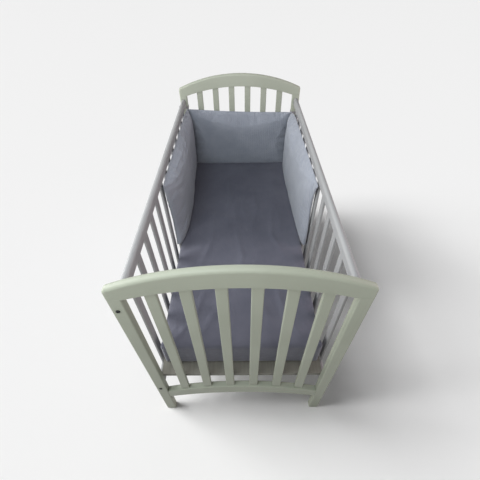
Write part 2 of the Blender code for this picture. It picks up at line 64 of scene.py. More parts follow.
# %% [markdown]
# ## The camera
# The camera stands at the foot end, about one and a half metres up, and looks down into the crib.
# Its place and turns were worked out from the crib's straight edges. A camera in Blender looks
# along its own -Z, so its matrix is built from where it looks, what is right and what is up.

# %% Camera
CAMERA_PLACE = Vector((0.0075, -1.0396, 1.5708))
LOOKS_DOWN = math.radians(41.909)
TURNS_LEFT = math.radians(0.512)
TILTS = math.radians(0.914)
FOCAL_LENGTH_MM = 22.66
SENSOR_MM = 36.0
PICTURE_SHIFT = -0.0741

looks_along = Vector((-math.sin(TURNS_LEFT) * math.cos(LOOKS_DOWN),
                      math.cos(TURNS_LEFT) * math.cos(LOOKS_DOWN),
                      -math.sin(LOOKS_DOWN)))
level_right = Vector((math.cos(TURNS_LEFT), math.sin(TURNS_LEFT), 0.0))
level_down = looks_along.cross(level_right)
camera_right = math.cos(TILTS) * level_right + math.sin(TILTS) * level_down
camera_up = math.sin(TILTS) * level_right - math.cos(TILTS) * level_down

camera_data = bpy.data.cameras.new("camera")
camera_data.sensor_width = SENSOR_MM
camera_data.lens = FOCAL_LENGTH_MM
camera_data.shift_y = PICTURE_SHIFT
camera = bpy.data.objects.new("camera", camera_data)
camera.matrix_world = Matrix.Translation(CAMERA_PLACE) @ Matrix(
    (camera_right, camera_up, -looks_along)).transposed().to_4x4()
bpy.context.scene.collection.objects.link(camera)
bpy.context.scene.camera = camera
print("camera height in m:", round(CAMERA_PLACE.z, 2))

# %% [markdown]
# ## Floor and light
# The crib stands on a plain pale floor that runs on past the edge of the picture. The sky is even
# and weak, so that nothing is black. Seen directly it is as pale as the floor, so that a low view
# has no dark band over the floor. The window makes the shadow on the floor. It is tall, to the
# left and a little behind the crib, so the shadow fades out to the right and stays crisper in
# front. It is built as two columns of suns, because a sun lights a floor evenly however far it
# runs. A few soft panels light the crib alone. Light linking keeps them off the floor, and keeps
# the window off the crib, so each can be set without spoiling the other.

# %% Floor
FLOOR_REACH = 40.0
FLOOR_BELOW = 0.0004
FLOOR_COLOR = (0.87, 0.87, 0.87)


def plain_shader(name, color, roughness):
    """A new material and its shader, with an even colour."""
    made = bpy.data.materials.new(name)
    made.use_nodes = True
    shader = made.node_tree.nodes["Principled BSDF"]
    shader.inputs["Base Color"].default_value = (*color, 1.0)
    shader.inputs["Roughness"].default_value = roughness
    return made, shader


floor_mesh = bpy.data.meshes.new("floor")
floor_mesh.from_pydata([(FLOOR_REACH * x, FLOOR_REACH * y, -FLOOR_BELOW)
                        for x, y in ((-1, -1), (1, -1), (1, 1), (-1, 1))], [], [(0, 1, 2, 3)])
floor = bpy.data.objects.new("floor", floor_mesh)
bpy.context.scene.collection.objects.link(floor)
floor_finish, floor_shader = plain_shader("pale_floor", FLOOR_COLOR, 0.8)
floor_shader.inputs["Specular IOR Level"].default_value = 0.1
floor_mesh.materials.append(floor_finish)
floor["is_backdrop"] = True
print("floor side in m:", 2 * FLOOR_REACH)

# %% Sky and window
SKY_STRENGTH = 0.20
SKY_SEEN = 0.88
WINDOW_SOFTNESS = 18
# Each pane's height and how far it is behind the crib's middle, in degrees, and its light
WINDOW = ((15, 0, 0.030), (34, 0, 0.060), (44, 0, 0.245), (64, 0, 0.110),
          (28, 20, 0.090), (54, 20, 0.130), (64, 20, 0.155))


def add_light(name, kind, towards, lights_only):
    """A light whose back points in a direction, which lights one collection only."""
    data = bpy.data.lights.new(name, kind)
    light = bpy.data.objects.new(name, data)
    light.rotation_mode = "QUATERNION"
    light.rotation_quaternion = Vector(towards).to_track_quat("Z", "Y")
    light.light_linking.receiver_collection = lights_only
    bpy.context.scene.collection.objects.link(light)
    return light, data


world = bpy.data.worlds.new("even_sky")
world.use_nodes = True
sky_nodes = world.node_tree.nodes
sky = sky_nodes["Background"]
sky.inputs["Color"].default_value = (1.0, 1.0, 1.0, 1.0)
seen_directly = sky_nodes.new("ShaderNodeLightPath")
strength = sky_nodes.new("ShaderNodeMapRange")
strength.inputs["To Min"].default_value = SKY_STRENGTH
strength.inputs["To Max"].default_value = SKY_SEEN
world.node_tree.links.new(seen_directly.outputs["Is Camera Ray"], strength.inputs["Value"])
world.node_tree.links.new(strength.outputs["Result"], sky.inputs["Strength"])
bpy.context.scene.world = world

the_floor = bpy.data.collections.new("the_floor")
the_floor.objects.link(floor)
for up, behind, share in WINDOW:
    height = math.radians(up)
    bearing = math.radians(behind)
    _, sun_data = add_light("window_" + str(up) + "_" + str(behind), "SUN",
                            (-math.cos(height) * math.cos(bearing),
                             math.cos(height) * math.sin(bearing), math.sin(height)),
                            the_floor)
    sun_data.angle = math.radians(WINDOW_SOFTNESS)
    sun_data.energy = math.pi * share / math.sin(height)
print("light on the floor:", round(SKY_STRENGTH + sum(share for _, _, share in WINDOW), 2))

# %% Panels
WHITE = (1.0, 1.0, 1.0)
WARM = (1.0, 0.84, 0.87)
COOL = (0.88, 1.0, 1.06)
PALE_VIOLET = (1.0, 0.96, 1.12)
PANELS = {
    "over_foot_end": {"place": (-0.6, -0.95, 2.2), "size": 0.8, "watts": 17.0, "color": COOL},
    "before_foot_end": {"place": (0.0, -1.35, 2.1), "size": 0.8, "watts": 11.0},
    "from_left": {"place": (-2.6, 0.0, 2.0), "size": 1.6, "watts": 80.0},
    "low_left": {"place": (-2.8, 0.2, 0.8), "size": 1.2, "watts": 47.0},
    "from_right": {"place": (2.6, 0.0, 2.0), "size": 1.6, "watts": 22.0, "color": WARM},
    "low_right": {"place": (2.8, 0.0, 0.8), "size": 1.2, "watts": 32.0, "color": WARM},
    "front_left": {"place": (-1.8, -1.9, 2.0), "size": 1.2, "watts": 21.0},
    "from_head_end": {"place": (0.0, 3.0, 2.2), "size": 2.6, "watts": 40.0},
    "on_head_end": {"place": (0.0, -2.8, 2.0), "size": 1.6, "watts": 38.0, "color": PALE_VIOLET},
}
PANELS_AIM = Vector((0.0, 0.0, 0.6))
HEAD_END_ONLY = "on_head_end"

the_crib = bpy.data.collections.new("the_crib")
the_head_end = bpy.data.collections.new("the_head_end")
for name, panel in PANELS.items():
    light, light_data = add_light(name, "AREA", Vector(panel["place"]) - PANELS_AIM,
                                  the_head_end if name == HEAD_END_ONLY else the_crib)
    light.location = panel["place"]
    light_data.size = panel["size"]
    light_data.energy = panel["watts"]
    light_data.color = panel.get("color", WHITE)
bpy.context.scene.view_settings.view_transform = "Standard"
print("panels in W:", {name: panel["watts"] for name, panel in PANELS.items()})

# %% [markdown]
# ## How a finish is built
# Each finish is a Principled shader with a few nodes in front of it. The same three moves come
# back in all of them: a noise read at the surface's own place, a ramp that turns the noise into
# two close colours or two close roughnesses, and a bump that raises the noise. Places are in
# metres, so a scale of 300 means marks about 3 mm apart.

# %% Helpers: nodes and noises
def node(tree, kind, **settings):
    """A new node in a tree, with its properties set by name."""
    made = tree.nodes.new(kind)
    for name, value in settings.items():
        setattr(made, name, value)
    return made


def noise_value(tree, scale, detail=3.0, roughness=0.5, distortion=0.0):
    """A noise from 0 to 1. The scale is how many marks it has in a metre along each axis."""
    place = node(tree, "ShaderNodeTexCoord")
    scaled = node(tree, "ShaderNodeMapping")
    scaled.inputs["Scale"].default_value = scale
    tree.links.new(place.outputs["Object"], scaled.inputs["Vector"])
    made = node(tree, "ShaderNodeTexNoise")
    made.inputs["Scale"].default_value = 1.0
    made.inputs["Detail"].default_value = detail
    made.inputs["Roughness"].default_value = roughness
    made.inputs["Distortion"].default_value = distortion
    tree.links.new(scaled.outputs["Vector"], made.inputs["Vector"])
    return made.outputs["Fac"]


# %% Helpers: ramps and bumps
def ramp(tree, value, low_color, high_color, low=0.35, high=0.65):
    """Turns a value into a colour between two."""
    made = node(tree, "ShaderNodeValToRGB")
    made.color_ramp.elements[0].position = low
    made.color_ramp.elements[0].color = (*low_color, 1.0)
    made.color_ramp.elements[1].position = high
    made.color_ramp.elements[1].color = (*high_color, 1.0)
    tree.links.new(value, made.inputs["Fac"])
    return made.outputs["Color"]


def spread(tree, value, low, high):
    """Turns a value from 0 to 1 into a number between two."""
    made = node(tree, "ShaderNodeMapRange")
    made.inputs["To Min"].default_value = low
    made.inputs["To Max"].default_value = high
    tree.links.new(value, made.inputs["Value"])
    return made.outputs["Result"]


def bump(tree, height, depth, below=None):
    """Raises a height by a depth in metres. A bump that is given as below is added under it."""
    made = node(tree, "ShaderNodeBump")
    made.inputs["Strength"].default_value = 1.0
    made.inputs["Distance"].default_value = depth
    tree.links.new(height, made.inputs["Height"])
    if below is not None:
        tree.links.new(below, made.inputs["Normal"])
    return made.outputs["Normal"]


def feed(tree, shader, color, roughness, normal):
    """Give a shader the three values that each finish varies."""
    tree.links.new(color, shader.inputs["Base Color"])
    tree.links.new(roughness, shader.inputs["Roughness"])
    tree.links.new(normal, shader.inputs["Normal"])


# %% [markdown]
# ## Sage paint
# The crib is wood under a satin paint. Up close the paint lies in faint brushed streaks along
# each piece, and the wood's grain shows through as shallow lines. So the noise is stretched in
# the direction in which the piece was sawn: up for legs and slats, across for the arched rails
# and along for the side rails. The sides are a shade greyer than the ends.

# %% Paint
END_PAINT = ((0.240, 0.254, 0.202), (0.258, 0.272, 0.218))
SIDE_PAINT = ((0.244, 0.243, 0.244), (0.262, 0.261, 0.262))
STREAK = 260.0
ALONG_STREAK = 9.0
CLOUDS = (6.0, 6.0, 6.0)
ORANGE_PEEL = (450.0, 450.0, 450.0)
SATIN = (0.46, 0.60)
GRAIN_DEPTH = 0.00012
PEEL_DEPTH = 0.00003


def paint(name, colors, direction):
    """Satin paint on wood whose grain runs along one axis: 0, 1 or 2."""
    made, shader = plain_shader(name, colors[0], 0.5)
    tree = made.node_tree
    streak_scale = [STREAK, STREAK, STREAK]
    streak_scale[direction] = ALONG_STREAK
    streaks = noise_value(tree, streak_scale, 4.0, 0.55)
    clouds = noise_value(tree, CLOUDS, 2.0)
    orange_peel = noise_value(tree, ORANGE_PEEL, 1.0)
    grain = bump(tree, streaks, GRAIN_DEPTH)
    feed(tree, shader, ramp(tree, clouds, *colors), spread(tree, streaks, *SATIN),
         bump(tree, orange_peel, PEEL_DEPTH, grain))
    shader.inputs["Specular IOR Level"].default_value = 0.3
    return made


end_upright = paint("end_paint_upright", END_PAINT, 2)
end_across = paint("end_paint_across", END_PAINT, 0)
side_upright = paint("side_paint_upright", SIDE_PAINT, 2)
side_along = paint("side_paint_along", SIDE_PAINT, 1)
print("paints:", [finish.name for finish in (end_upright, end_across, side_upright, side_along)])

# %% Soft edges
TOUCHING = 0.00001
SOFT_EDGE = 0.0008
SOFT_EDGE_STEPS = 2
SHARPER_THAN = math.radians(35)
FLAT_FACE_WEIGHT = 100


def dress(piece, finish):
    """Give a piece one finish."""
    piece.data.materials.clear()
    piece.data.materials.append(finish)


def smooth_over(piece):
    """Close the seams between a hard piece's faces, and shade its rounded edges as round.

    The last modifier lets the large flat faces decide the shading, so that they look flat.
    """
    welded = piece.modifiers.new("closed", "WELD")
    welded.merge_threshold = TOUCHING
    piece.data.shade_smooth()
    rounded = piece.modifiers.new("edges", "BEVEL")
    rounded.width = SOFT_EDGE
    rounded.segments = SOFT_EDGE_STEPS
    rounded.limit_method = "ANGLE"
    rounded.angle_limit = SHARPER_THAN
    rounded.use_clamp_overlap = True
    weighted = piece.modifiers.new("flat_faces", "WEIGHTED_NORMAL")
    weighted.weight = FLAT_FACE_WEIGHT


# %% Painted pieces
painted = 0
for name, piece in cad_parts.items():
    if name.startswith(("foot_", "head_")):
        dress(piece, end_across if name.endswith(("arch", "rail")) else end_upright)
    elif name.startswith(("left_", "right_")):
        dress(piece, side_along if name.endswith("rail") else side_upright)
    else:
        continue
    smooth_over(piece)
    painted += 1
print("painted pieces:", painted)

# %% [markdown]
# ## Black bolts and the board
# The bolt heads are blackened steel, a little worn to grey where a key has turned. The board under
# the mattress is bare hardboard, dull, with its grain along the crib. Its dark grey colour is
# painted shade, as dark as the shade under the mattress.

# %% Bolts and board
STEEL_SPECKS = (900.0, 900.0, 900.0)
BOARD_GRAIN = (90.0, 3.0, 90.0)
SPECK_DEPTH = 0.00004
BOARD_GRAIN_DEPTH = 0.0002


def black_steel():
    """Blackened steel, worn to grey in specks."""
    made, shader = plain_shader("black_steel", (0.02, 0.022, 0.022), 0.4)
    tree = made.node_tree
    wear = noise_value(tree, STEEL_SPECKS, 4.0)
    feed(tree, shader, ramp(tree, wear, (0.015, 0.016, 0.017), (0.07, 0.07, 0.07), 0.55, 0.8),
         spread(tree, wear, 0.3, 0.55), bump(tree, wear, SPECK_DEPTH))
    shader.inputs["Metallic"].default_value = 0.8
    return made


def board_painted_shade():
    """Dull hardboard with its grain along the crib, in a dark grey that is painted shade."""
    # These dark grey colours are painted shade: the board is coloured as dark as the shade under
    # the mattress
    made, shader = plain_shader("board_painted_shade", (0.11, 0.105, 0.085), 0.6)
    tree = made.node_tree
    grain = noise_value(tree, BOARD_GRAIN, 5.0, 0.6, 0.6)
    feed(tree, shader, ramp(tree, grain, (0.100, 0.096, 0.078), (0.130, 0.125, 0.104)),
         spread(tree, grain, 0.5, 0.7), bump(tree, grain, BOARD_GRAIN_DEPTH))
    return made


steel = black_steel()
for name in ("bolt_upper", "bolt_lower"):
    dress(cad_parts[name], steel)
board = board_painted_shade()
dress(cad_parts["mattress_base"], board)
smooth_over(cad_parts["mattress_base"])
print("other hard finishes:", steel.name, board.name)

# %% [markdown]
# ## Three cloths
# The bumper is double gauze: two loose cotton layers that are caught together at points about a
# centimetre apart. Between those points the cloth puffs up into small soft squares, and washing
# crinkles it. At the weave's own scale it is a grid of threads about 0.9 mm apart. The ties are
# cut from the same cloth, but their gauze is a darker, less blue copy of it: painted shade for the
# shaded head corners where they sit. The fitted sheet is a darker knit with lower ribs.

# %% Weave
THREAD = 0.0009
CATCH_POINTS = 0.011
BAND_PERIOD = math.pi / 10


def woven(tree, threads_apart, axis_one, axis_two):
    """The height of a plain weave: two sets of threads, each along one direction.

    Blender's wave texture has a band every BAND_PERIOD at scale 1.
    """
    heights = []
    for axis in (axis_one, axis_two):
        wave = node(tree, "ShaderNodeTexWave", wave_type="BANDS", bands_direction=axis)
        wave.inputs["Scale"].default_value = BAND_PERIOD / threads_apart
        wave.inputs["Distortion"].default_value = 1.2
        wave.inputs["Detail"].default_value = 1.0
        place = node(tree, "ShaderNodeTexCoord")
        tree.links.new(place.outputs["Object"], wave.inputs["Vector"])
        heights.append(wave.outputs["Fac"])
    both = node(tree, "ShaderNodeMath", operation="MULTIPLY")
    tree.links.new(heights[0], both.inputs[0])
    tree.links.new(heights[1], both.inputs[1])
    return both.outputs["Value"]


# %% Gauze
PUFF_DEPTH = 0.0009
CRINKLE_HEIGHT = 0.0014
THREAD_DEPTH = 0.00018
GAUZE_CLOUDS = (14.0, 14.0, 14.0)
GAUZE_CRINKLES = (120.0, 120.0, 70.0)


def gauze(name, colors, across):
    """Double gauze on a panel. Its threads run up, and along the axis that is named."""
    made, shader = plain_shader(name, colors[0], 0.9)
    tree = made.node_tree
    clouds = noise_value(tree, GAUZE_CLOUDS, 3.0, 0.6)
    crinkle = noise_value(tree, GAUZE_CRINKLES, 3.0, 0.6, 0.8)
    puffs = bump(tree, woven(tree, CATCH_POINTS, across, "Z"), PUFF_DEPTH)
    soft = bump(tree, crinkle, CRINKLE_HEIGHT, puffs)
    feed(tree, shader, ramp(tree, clouds, *colors), spread(tree, clouds, 0.82, 0.95),
         bump(tree, woven(tree, THREAD, across, "Z"), THREAD_DEPTH, soft))
    shader.inputs["Specular IOR Level"].default_value = 0.2
    shader.inputs["Sheen Weight"].default_value = 0.25
    shader.inputs["Sheen Roughness"].default_value = 0.5
    return made


# %% Knit
KNIT_CLOUDS = (9.0, 9.0, 9.0)
KNIT_FOLDS = (30.0, 14.0, 30.0)
KNIT_FOLD_DEPTH = 0.002
RIB_DEPTH = 0.00015


def knit(name, colors):
    """A fine cotton knit for the fitted sheet."""
    made, shader = plain_shader(name, colors[0], 0.9)
    tree = made.node_tree
    clouds = noise_value(tree, KNIT_CLOUDS, 3.0, 0.6)
    soft_folds = noise_value(tree, KNIT_FOLDS, 3.0, 0.5, 0.6)
    soft = bump(tree, soft_folds, KNIT_FOLD_DEPTH)
    feed(tree, shader, ramp(tree, clouds, *colors), spread(tree, clouds, 0.85, 0.95),
         bump(tree, woven(tree, THREAD, "X", "Y"), RIB_DEPTH, soft))
    shader.inputs["Specular IOR Level"].default_value = 0.2
    shader.inputs["Sheen Weight"].default_value = 0.2
    return made


# %% The cloths
PANEL_COLORS = ((0.216, 0.230, 0.266), (0.246, 0.260, 0.298))
# The ties' colours are the panels' gauze made darker: painted shade for the shaded head corners
TIE_COLORS_PAINTED_SHADE = ((0.180, 0.170, 0.175), (0.215, 0.205, 0.210))
SHEET_COLORS = ((0.082, 0.083, 0.108), (0.098, 0.099, 0.126))
side_gauze = gauze("side_gauze", PANEL_COLORS, "Y")
head_gauze = gauze("head_gauze", PANEL_COLORS, "X")
# The same gauze as the panels, in darker colours that are painted shade
tie_gauze_painted_shade = gauze("tie_gauze_painted_shade", TIE_COLORS_PAINTED_SHADE, "Y")
sheet_knit = knit("sheet_knit", SHEET_COLORS)
print("cloths:", [cloth.name for cloth in (side_gauze, head_gauze, tie_gauze_painted_shade, sheet_knit)])

# %% [markdown]
# ## The shape of a pad
# A bumper panel is two pieces of cloth sewn together all round and stuffed with flat wadding. So
# its edge is a flat, thin line, its face stands out in the middle, and its back lies against the
# slats. Each skin is a grid: a place on it is a share of the way along and a share of the way up.
# The grids are closer near the edges, where a pad curves most. Both skins are made from the same
# sewn line, so they meet there.

# %% Sizes of the pads
GAP = 0.0003
BACK = 0.008
DROOP_LENGTH = 0.07
COLUMNS = 120
ROWS = 64
# The pads meet on a slant in the head corners, and fill this share of the way to each other
MITRE = 0.96
left_low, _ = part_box("bumper_left")
_, head_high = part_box("bumper_head")
seam_x = -left_low.x - BACK
seam_y = head_high.y - BACK
floor_z = left_low.z
BOTTOM_POWER = 7.0
TOP_POWER = 3.0
END_POWER = 4.0
FOOT_POWER = 3.5

# Heights of the corners, places of the foot edge along Y, and depths from the head to the foot
SIDES = {
    "left": {"x_sign": -1, "top_head": 0.840, "top_foot": 0.8405, "droop": 0.014,
             "foot_top_y": -0.113, "foot_bottom_y": -0.098, "draw_in": 0.023, "skew": 0.8,
             "depths": (0.033, 0.034, 0.037, 0.048, 0.053, 0.054, 0.050)},
    "right": {"x_sign": 1, "top_head": 0.830, "top_foot": 0.8460, "droop": 0.038,
              "foot_top_y": -0.133, "foot_bottom_y": -0.109, "draw_in": 0.033, "skew": 1.8,
              "depths": (0.034, 0.046, 0.046, 0.041, 0.037, 0.033, 0.031)},
}
HEAD = {"top_left": 0.828, "top_right": 0.803, "sag": 0.006, "depth": 0.040}
print("sewn line from the middle, in mm:", round(1000 * seam_x), round(1000 * seam_y))

# %% Fullness
EDGE_CLOSENESS = 0.28


def bulge(share, low_power, high_power):
    """How full a pad is at a share of the way across: 0 at both sewn edges, 1 between."""
    distance = abs(2 * share - 1)
    power = low_power if share < 0.5 else high_power
    return max(0.0, 1 - distance ** power) ** (1 / power)


def between(values, share):
    """A smooth reading of an evenly spaced row of values."""
    place = min(max(share, 0.0), 1.0) * (len(values) - 1)
    index = min(int(place), len(values) - 2)
    part = place - index
    part = part * part * (3 - 2 * part)
    return values[index] * (1 - part) + values[index + 1] * part


def closer_to_edges(share):
    """Moves even steps towards both edges."""
    swing = math.cos(math.pi * share)
    return 0.5 - 0.5 * swing * (1 - EDGE_CLOSENESS + EDGE_CLOSENESS * abs(swing))


# %% Skins
def side_sewn_point(sizes, along, up):
    """Where a side panel's cloth lies if it were flat: its distance along Y and its height."""
    top = sizes["top_head"] + (sizes["top_foot"] - sizes["top_head"]) * along
    top -= sizes["droop"] * math.exp(-along / DROOP_LENGTH)
    foot_y = sizes["foot_bottom_y"] + (sizes["foot_top_y"] - sizes["foot_bottom_y"]) * up
    foot_y += sizes["draw_in"] * math.sin(math.pi * up ** sizes["skew"])
    start_y = seam_y - GAP
    return start_y + (foot_y - start_y) * along, floor_z + (top - floor_z) * up


def side_skin(sizes, front):
    """A function that places a point of a side panel's front or back skin."""
    side = sizes["x_sign"]

    def place(along, up):
        y, z = side_sewn_point(sizes, along, up)
        full = bulge(along, END_POWER, FOOT_POWER) * bulge(up, BOTTOM_POWER, TOP_POWER)
        if not front:
            return Vector((side * (seam_x + BACK * full), y, z))
        depth = min(between(sizes["depths"], along) * full, MITRE * (seam_y - y))
        return Vector((side * (seam_x - depth), y, z))
    return place


def head_skin(front, depth):
    """A function that places a point of the head panel's front or back skin."""
    def place(along, up):
        top = HEAD["top_left"] + (HEAD["top_right"] - HEAD["top_left"]) * along
        top -= HEAD["sag"] * math.sin(math.pi * along)
        x = (seam_x - GAP) * (2 * along - 1)
        z = floor_z + (top - floor_z) * up
        full = bulge(along, END_POWER, END_POWER) * bulge(up, BOTTOM_POWER, TOP_POWER)
        if not front:
            return Vector((x, seam_y + BACK * full, z))
        return Vector((x, seam_y - min(depth * full, MITRE * (seam_x - abs(x))), z))
    return place


# %% A sewn pad
ON_SEAM = 0.0005
PINNED = "sewn_edge"


def new_piece(name, shape):
    """A smooth piece from a shape that was built in memory."""
    mesh = bpy.data.meshes.new(name)
    shape.to_mesh(mesh)
    shape.free()
    mesh.shade_smooth()
    piece = bpy.data.objects.new(name, mesh)
    bpy.context.scene.collection.objects.link(piece)
    return piece


def pin(piece, points):
    """Hold some of a piece's points where they are in the simulation."""
    piece.vertex_groups.new(name=PINNED).add(points, 1.0, "REPLACE")


def sewn_pad(name, front, back):
    """A closed pad from two skins, with its sewn edge pinned."""
    shape = bmesh.new()
    shares = shape.verts.layers.float_vector.new("shares")
    for place, side in ((front, 1.0), (back, -1.0)):
        grid = bmesh.ops.create_grid(shape, x_segments=COLUMNS, y_segments=ROWS, size=0.5)
        for vertex in grid["verts"]:
            along = closer_to_edges(min(max(vertex.co.x + 0.5, 0.0), 1.0))
            up = closer_to_edges(min(max(vertex.co.y + 0.5, 0.0), 1.0))
            vertex.co = place(along, up)
            vertex[shares] = (along, up, side)
    bmesh.ops.remove_doubles(shape, verts=shape.verts, dist=TOUCHING)
    bmesh.ops.recalc_face_normals(shape, faces=shape.faces)
    if shape.calc_volume(signed=True) < 0:
        bmesh.ops.reverse_faces(shape, faces=shape.faces)
    pad = new_piece(name, shape)
    pin(pad, [vertex.index for vertex in pad.data.vertices
              if min(on_edge(pad.data, vertex.index)) < ON_SEAM])
    return pad


def on_edge(mesh, index):
    """How far a point of a pad is from each of its four sewn sides, as shares."""
    along, up, _ = mesh.attributes["shares"].data[index].vector
    return along, 1 - along, up, 1 - up


# %% [markdown]
# ## Filling the pads
# Wadding pushes the cloth out until the cloth is tight, and the cloth was cut a little bigger than
# the outline that it is sewn into. A cloth simulation does just that. Each pad starts a little too
# flat, with its sewn edge pinned. Pressure from inside swells it, and the cloth itself grows by two
# percent, so that it has something to wrinkle with. Gravity is off, because the slats and the
# mattress carry the pad. No point may go further than a cap, and none may leave the space that
# the pad has between the slats, the mattress and the panel round the corner.

# %% Cloth simulation
SWELL_FRAMES = 20
CLOTH_GROWTH = 0.02
WADDING_PRESSURE = 4.0


def simulated_places(pad):
    """Where the pad's points are once its cloth has swelled against the pinned edge."""
    cloth = pad.modifiers.new("filled", "CLOTH")
    cloth.settings.quality = 5
    cloth.settings.mass = 0.3
    cloth.settings.tension_stiffness = 15.0
    cloth.settings.compression_stiffness = 12.0
    cloth.settings.shear_stiffness = 5.0
    cloth.settings.bending_stiffness = 0.3
    cloth.settings.use_pressure = True
    cloth.settings.uniform_pressure_force = WADDING_PRESSURE
    cloth.settings.shrink_min = -CLOTH_GROWTH
    cloth.settings.effector_weights.gravity = 0.0
    cloth.settings.vertex_group_mass = PINNED
    cloth.collision_settings.use_self_collision = False
    cloth.collision_settings.use_collision = False
    cloth.point_cache.frame_start = 1
    cloth.point_cache.frame_end = SWELL_FRAMES
    for step in range(1, SWELL_FRAMES + 1):
        bpy.context.scene.frame_set(step)
    swollen = pad.evaluated_get(bpy.context.evaluated_depsgraph_get()).data
    places = [vertex.co.copy() for vertex in swollen.vertices]
    pad.modifiers.remove(cloth)
    bpy.context.scene.frame_set(1)
    return places


# %% The space of a pad
SWELL_CAP = 0.010
PRESSED_ANYWHERE = 0.25
PRESSED_UP_TO = 0.06


def capped(step):
    """How far a point moves: as the cloth did, but no further than the cap."""
    return step * (SWELL_CAP / step.length) if step.length > SWELL_CAP else step


def within_its_space(side_name, place):
    """A point of a pad, moved back from the slats, the mattress or the next panel if need be."""
    if side_name == "head":
        depth = min(seam_y - place.y, MITRE * (seam_x - abs(place.x)))
        return Vector((place.x, seam_y - max(depth, -BACK), max(place.z, floor_z)))
    side = SIDES[side_name]["x_sign"]
    depth = min(seam_x - side * place.x, MITRE * max(seam_y - place.y, 0.0))
    return Vector((side * (seam_x - max(depth, -BACK)), min(place.y, seam_y - GAP),
                   max(place.z, floor_z)))


def pressed_flat(height):
    """How much the mattress presses the cloth back to its measured shape, at a height above it."""
    return PRESSED_ANYWHERE + (1 - PRESSED_ANYWHERE) * math.exp(-(height / PRESSED_UP_TO) ** 2)


def swell(pad, side_name, measured):
    """Fill a pad, and say how far its cloth moved. measured gives its front and its back skin."""
    furthest = 0.0
    shares = pad.data.attributes["shares"].data
    for vertex, swollen in zip(pad.data.vertices, simulated_places(pad)):
        step = capped(swollen - vertex.co)
        furthest = max(furthest, step.length)
        along, up, side = shares[vertex.index].vector
        pressed = measured[0 if side > 0 else 1](along, up)
        place = (vertex.co + step).lerp(pressed, pressed_flat(pressed.z - floor_z))
        vertex.co = within_its_space(side_name, place)
    return furthest


# %% The three pads
START_FULLNESS = 0.80
pads = {}
skins = {}
start = START_FULLNESS
for side_name, sizes in SIDES.items():
    flatter = dict(sizes, depths=[depth * start for depth in sizes["depths"]])
    skins[side_name] = side_skin(sizes, True), side_skin(sizes, False)
    pads[side_name] = sewn_pad(side_name + "_panel", side_skin(flatter, True),
                               side_skin(flatter, False))
skins["head"] = head_skin(True, HEAD["depth"]), head_skin(False, HEAD["depth"])
pads["head"] = sewn_pad("head_panel", head_skin(True, HEAD["depth"] * start),
                        head_skin(False, HEAD["depth"]))
for side_name, pad in pads.items():
    moved = swell(pad, side_name, skins[side_name])
    print(pad.name, "cloth moved up to", round(1000 * moved, 1), "mm")

# %% [markdown]
# ## Creases and gathers
# Three things are left on the cloth of a real bumper once it is filled. Its seam gathers it, so
# short ripples run out from the edge and die away. It has a few long creases where it was folded
# or tied, and those are placed one by one. And washed gauze crinkles all over, in small soft
# wrinkles. All three move points outwards or inwards, so they catch the light from any side. The
# mesh is divided once before that, because the crinkles are finer than the simulation's grid.

# %% Where the creases are
PANEL_LENGTH = 0.70
PANEL_HEIGHT = 0.36

# Each crease: its stops as shares along and up, how far it stands out and how wide it is
CREASES = {
    "left": (
        (((0.44, 0.95), (0.56, 0.93), (0.72, 0.95), (0.86, 0.97)), 0.0035, 0.007),
        (((0.36, 0.93), (0.47, 0.90), (0.62, 0.88)), 0.003, 0.006),
        (((0.40, 0.97), (0.47, 0.73), (0.53, 0.49), (0.53, 0.27)), -0.006, 0.022),
        (((0.97, 0.93), (0.86, 0.86), (0.72, 0.84)), -0.004, 0.011),
        (((0.97, 0.86), (0.88, 0.74), (0.78, 0.68)), -0.0035, 0.012),
        (((0.16, 0.90), (0.14, 0.55), (0.26, 0.25), (0.42, 0.15)), 0.004, 0.035),
        (((0.98, 0.20), (0.86, 0.26), (0.70, 0.24)), -0.003, 0.016),
    ),
    "right": (
        (((0.30, 0.97), (0.34, 0.88), (0.40, 0.76), (0.56, 0.63)), 0.004, 0.024),
        (((0.04, 0.84), (0.16, 0.70), (0.24, 0.48)), -0.004, 0.026),
        (((0.99, 0.16), (0.90, 0.14), (0.82, 0.20)), -0.004, 0.012),
        (((0.97, 0.06), (0.88, 0.05), (0.78, 0.07)), -0.003, 0.008),
        (((0.95, 0.92), (0.84, 0.80), (0.78, 0.62)), -0.004, 0.024),
    ),
    "head": (
        (((0.05, 0.88), (0.17, 0.70), (0.24, 0.42)), -0.0015, 0.030),
        (((0.95, 0.90), (0.86, 0.66), (0.80, 0.40)), -0.0015, 0.028),
        (((0.40, 0.96), (0.46, 0.70), (0.44, 0.45)), -0.0015, 0.034),
    ),
}


# %% Depth of a crease
FADES_FROM = 0.08
FADING_POWER = 0.7


def crease_depth(crease, along, up, length=PANEL_LENGTH, height=PANEL_HEIGHT):
    """How far one crease moves the cloth at a place on a panel, or on another sheet of a size."""
    path, out, wide = crease
    here = Vector((along * length, up * height))
    stops = [Vector((share * length, share_up * height)) for share, share_up in path]
    nearest = None
    for index in range(len(stops) - 1):
        run = stops[index + 1] - stops[index]
        part = min(max((here - stops[index]).dot(run) / run.length_squared, 0.0), 1.0)
        distance = (here - stops[index] - run * part).length
        if nearest is None or distance < nearest[0]:
            nearest = (distance, (index + part) / (len(stops) - 1))
    distance, travelled = nearest
    from_start = FADES_FROM + (1 - 2 * FADES_FROM) * travelled
    fading = math.sin(math.pi * from_start) ** FADING_POWER
    return out * fading * math.exp(-(distance / wide) ** 2)


print("long creases:", {name: len(rows) for name, rows in CREASES.items()})

# %% Gathers and crinkles
GATHER_APART = 0.017
GATHER_REACH = 0.020
GATHER_START = 0.003
GATHER_FADING = 1.3
GATHER_DEPTH = 0.0016
GATHER_SHIFT = 5.0
UNEVEN_ALONG = 22.0
UNEVEN_AWAY = 9.0
STRENGTH_ALONG = 11.0
CRINKLE_DEPTH = 0.0007
CRINKLE_SCALE = 34.0
CRINKLE_PATCHES = 12.0
CRINKLE_LEAN = 0.5
CRINKLE_STRETCH = 0.6
RIDGE_LEVEL = 0.35


